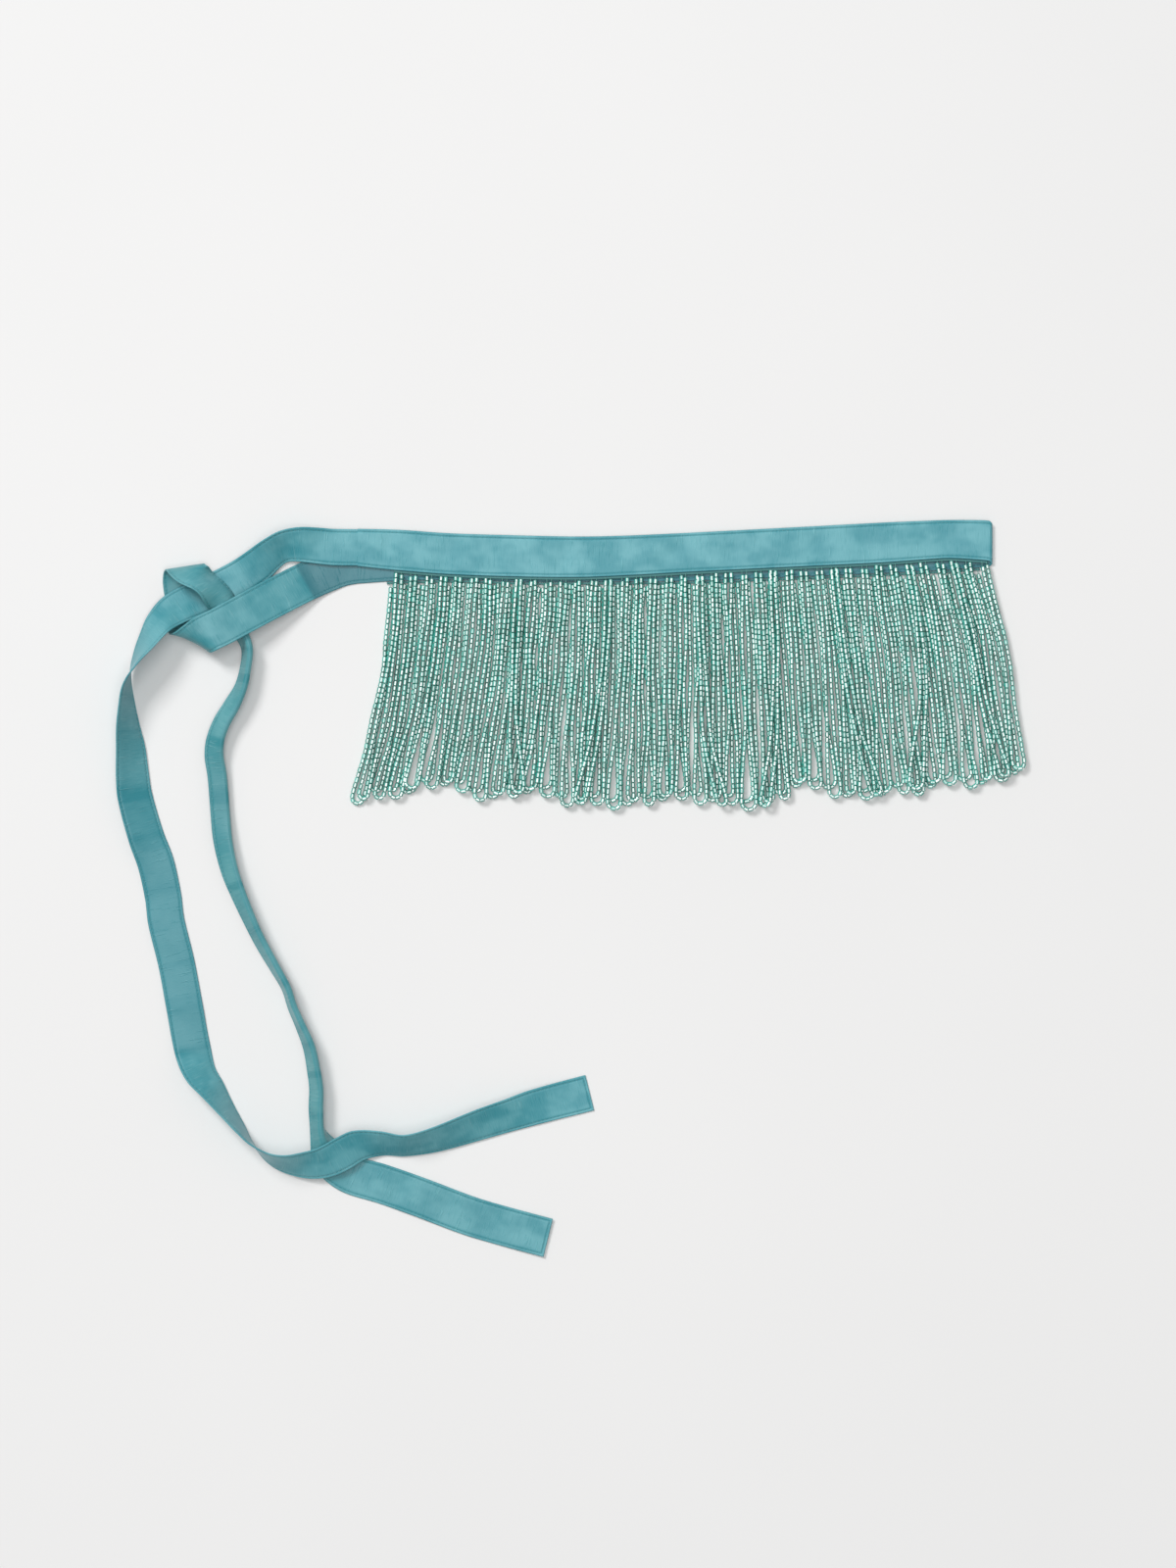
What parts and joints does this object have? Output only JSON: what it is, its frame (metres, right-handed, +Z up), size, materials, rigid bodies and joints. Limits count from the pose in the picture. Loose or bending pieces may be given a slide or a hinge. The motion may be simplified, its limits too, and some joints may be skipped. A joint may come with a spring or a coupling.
{
  "type": "beaded fringe belt",
  "caption": "Narrow doubled satin sash folded in half, with long looped glass-bead fringe along its lower edges and two half-knotted free ties, lying flat.",
  "frame": {"origin": "centre of the bounding box in plan, on the surface that the belt lies on", "axes": "+X runs along the waistband from the knotted ties to the fold, +Y from the fringe to the waistband, +Z up from the surface"},
  "size_m": [0.577, 0.4696, 0.0264],
  "materials": {
    "satin": "slubby teal satin with a soft sheen across the strip, topstitched edges",
    "glass_beads": "silver-lined teal-green glass tube beads, bright streak along each bead"
  },
  "bodies": {
    "root": {"waistband": "satin", "tie_front": "satin", "tie_back": "satin", "fringe_front": "glass_beads", "fringe_back": "glass_beads"}
  },
  "joints": []
}
